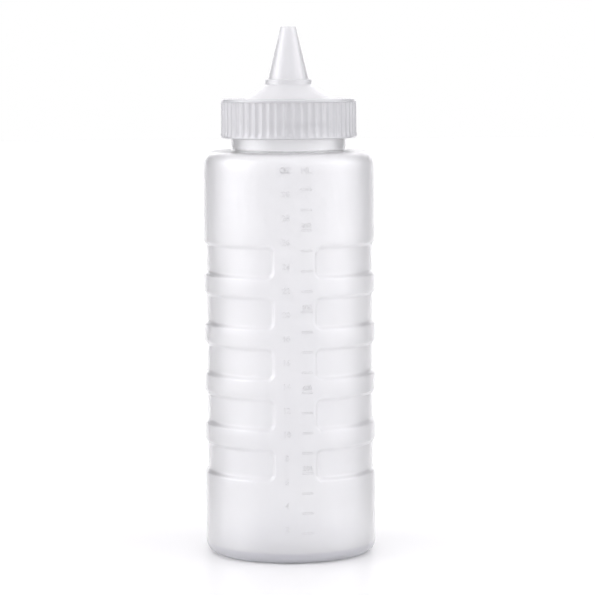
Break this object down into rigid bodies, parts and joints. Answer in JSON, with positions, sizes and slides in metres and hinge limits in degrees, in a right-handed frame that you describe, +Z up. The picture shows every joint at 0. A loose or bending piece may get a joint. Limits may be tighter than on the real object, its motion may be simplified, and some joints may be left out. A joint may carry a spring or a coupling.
{
  "type": "condiment squeeze dispenser",
  "caption": "Translucent squeeze bottle with recessed grip bands, a ribbed screw cap and a cone nozzle, for dispensing sauce by hand.",
  "frame": {"origin": "middle of the standing ring, on the surface that the bottle stands on", "axes": "+Z up along the axis of the bottle, cap and nozzle; -Y is the front, where the plain strip with the scale is"},
  "size_m": [0.0844, 0.0846, 0.26],
  "materials": {
    "bottle_plastic": "translucent natural polyethylene, softly glossy",
    "cap_plastic": "translucent natural polyethylene, satin",
    "seal_plastic": "white foamed polyethylene, matte"
  },
  "bodies": {
    "bottle": {"bottle": "bottle_plastic"},
    "seal": {"seal_ring": "seal_plastic"},
    "cap": {"screw_cap": "cap_plastic"}
  },
  "joints": [
    {"name": "cap_lift", "type": "slide", "parent": "bottle", "child": "seal", "axis": [0, 0, 1], "range_m": [0, 0.0053]},
    {"name": "cap_turn", "type": "hinge", "parent": "seal", "child": "cap", "pos_m": [0, 0, 0.2113], "axis": [0, 0, 1], "range_deg": [0, 450]}
  ],
  "couplings": [
    {"joint": "cap_lift", "follows": "cap_turn", "m_per_rad": 0.0006737}
  ]
}
